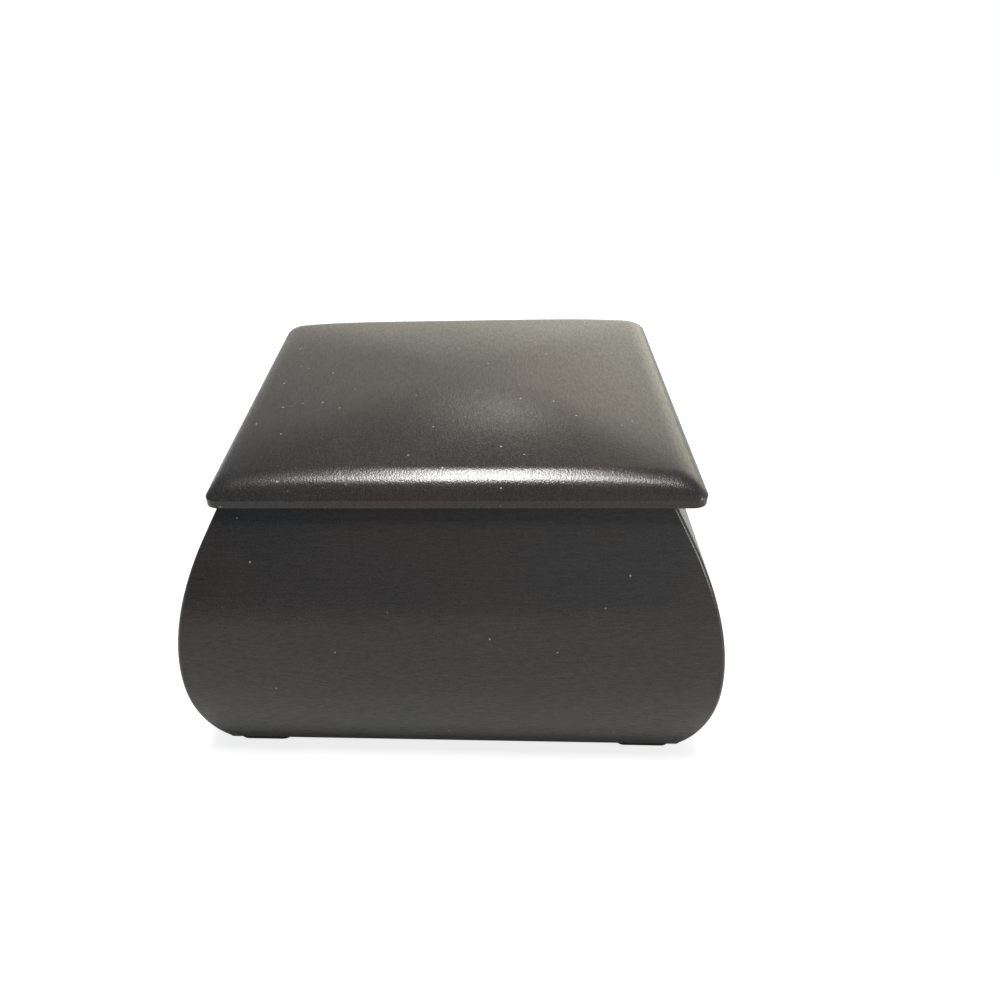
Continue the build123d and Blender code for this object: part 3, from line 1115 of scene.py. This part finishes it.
def studio_world():
    """White for the camera; in reflections brightest low behind, a dimmer room in front."""
    world = bpy.data.worlds.new("studio")
    bpy.context.scene.world = world
    world.use_nodes = True
    sky = Nodes(world.node_tree)
    background = sky.tree.nodes["Background"]
    way = sky.node("ShaderNodeTexCoord", {}).outputs["Generated"]

    def towards(direction):
        """How far a ray runs along a direction, 1 at the most."""
        product = sky.node("ShaderNodeVectorMath", {0: way, 1: direction}, operation="DOT_PRODUCT")
        return product.outputs["Value"]

    left_front, right_front, ceiling = (0.15, 0.17, 0.20), (0.44, 0.45, 0.46), (0.14, 0.15, 0.16)
    back_wall, window_glow, white = (0.70, 0.67, 0.57), (1.3, 1.24, 1.05), (1, 1, 1)
    diffuse_strength = 0.55
    across = sky.node("ShaderNodeSeparateXYZ", {"Vector": way})
    seen = sky.node("ShaderNodeLightPath", {})
    tone = sky.mixed(sky.ranged(across.outputs["X"], -0.35, 0.35, 0, 1), left_front, right_front)
    tone = sky.mixed(sky.ranged(across.outputs["Z"], 0.25, 0.85, 0, 1), tone, ceiling)
    tone = sky.mixed(sky.ranged(towards((0.22, 0.975, 0)), 0.54, 1.0, 0, 1, soft=True), tone, back_wall)
    tone = sky.mixed(
        sky.ranged(towards((0.42, 0.88, 0.22)), 0.86, 1.0, 0, 0.8, soft=True), tone, window_glow)
    tone = sky.mixed(seen.outputs["Is Camera Ray"], tone, white)
    sky.feed(background.inputs["Color"], tone)
    strength = sky.ranged(seen.outputs["Is Diffuse Ray"], 0, 1, 1.0, diffuse_strength)
    sky.feed(background.inputs["Strength"], strength)


def floor_finish(colour):
    """Pale matt floor, lifted to white for the camera where no shadow falls."""
    finish = Finish("pale_floor")
    unevenness, lift = 0.985, 0.78
    faint = finish.noise(finish.place, scale=30, detail=3.0)
    uneven = finish.layered(colour, times(colour, unevenness), faint, low=0.3, high=0.7, amount=1)
    finish.set("Base Color", uneven)
    finish.set("Roughness", 0.9)
    finish.set("Specular IOR Level", 0.0)
    finish.set("Emission Color", (1, 1, 1))
    seen = finish.node("ShaderNodeLightPath", {})
    finish.set("Emission Strength", finish.ranged(seen.outputs["Is Camera Ray"], 0, 1, 0, lift))
    return finish.material


def photo_camera(lens):
    """Camera close above the front, turned and rolled a little as in the picture."""
    stand = (0.0113, -0.2036, 0.1877)
    yaw, pitch, roll = -0.077, 0.606, 0.045
    ahead = Vector((sin(yaw) * cos(pitch), cos(yaw) * cos(pitch), -sin(pitch)))
    level = Vector((cos(yaw), -sin(yaw), 0))
    down = ahead.cross(level)
    right = cos(roll) * level + sin(roll) * down
    lower = cos(roll) * down - sin(roll) * level
    data = bpy.data.cameras.new("photo_camera")
    data.lens = lens
    data.sensor_width = 36
    data.shift_x = 0.06  # the box stands a little left of the picture's middle
    data.clip_start = 0.01
    camera = bpy.data.objects.new("photo_camera", data)
    bpy.context.scene.collection.objects.link(camera)
    turn = Matrix((right, -lower, -ahead)).transposed().to_4x4()
    camera.matrix_world = Matrix.Translation(stand) @ turn
    bpy.context.scene.camera = camera


class TRINKETBOX_OT_stage(bpy.types.Operator):
    """Set up the floor, the lamps and the camera"""
    bl_idname = "trinket_box.stage"
    bl_label = "Studio Stage"

    def execute(self, context):
        look = context.scene.trinket_stage
        context.scene.view_settings.view_transform = "Standard"
        left, right, front, back = -0.5, 0.5, -0.36, 0.5
        corners = [(left, front, 0), (right, front, 0), (right, back, 0), (left, back, 0)]
        floor = link_mesh("studio_floor", corners, [(0, 1, 2, 3)])
        floor.data.materials.append(floor_finish(tuple(look.floor_colour)))
        studio_world()
        studio_lamps()
        photo_camera(look.lens)
        return {"FINISHED"}


class TRINKETBOX_PT_maker(bpy.types.Panel):
    """Buttons and sizes of the trinket box"""
    bl_idname = "TRINKETBOX_PT_maker"
    bl_label = "Trinket Box"
    bl_space_type = "VIEW_3D"
    bl_region_type = "UI"
    bl_category = "Trinket Box"

    def draw(self, context):
        scene = context.scene
        for title, group in (
                ("Case", scene.trinket_case), ("Lid", scene.trinket_lid),
                ("Fittings", scene.trinket_fittings), ("Pads", scene.trinket_pads),
                ("Finish", scene.trinket_finish), ("Stage", scene.trinket_stage)):
            section = self.layout.box()
            section.label(text=title)
            for prop in group.__annotations__:
                section.prop(group, prop)
        for operator in operators:
            self.layout.operator(operator.bl_idname)


groups = {
    "trinket_case": CaseShape,
    "trinket_lid": LidShape,
    "trinket_fittings": FittingShape,
    "trinket_pads": PadShape,
    "trinket_finish": BoxFinish,
    "trinket_stage": StageLook,
}
operators = (
    TRINKETBOX_OT_stage,
    TRINKETBOX_OT_walls,
    TRINKETBOX_OT_base,
    TRINKETBOX_OT_feet,
    TRINKETBOX_OT_lid,
    TRINKETBOX_OT_hinges,
    TRINKETBOX_OT_screws,
    TRINKETBOX_OT_linings,
    TRINKETBOX_OT_cushions,
)


def register():
    for group in groups.values():
        bpy.utils.register_class(group)
    for name, group in groups.items():
        setattr(bpy.types.Scene, name, PointerProperty(type=group))
    for operator in operators:
        bpy.utils.register_class(operator)
    bpy.utils.register_class(TRINKETBOX_PT_maker)


def unregister():
    bpy.utils.unregister_class(TRINKETBOX_PT_maker)
    for operator in reversed(operators):
        bpy.utils.unregister_class(operator)
    for name in groups:
        delattr(bpy.types.Scene, name)
    for group in reversed(list(groups.values())):
        bpy.utils.unregister_class(group)


def main():
    register()
    for operator in operators:
        module, action = operator.bl_idname.split(".")
        getattr(getattr(bpy.ops, module), action)()


if __name__ == "__main__":
    main()
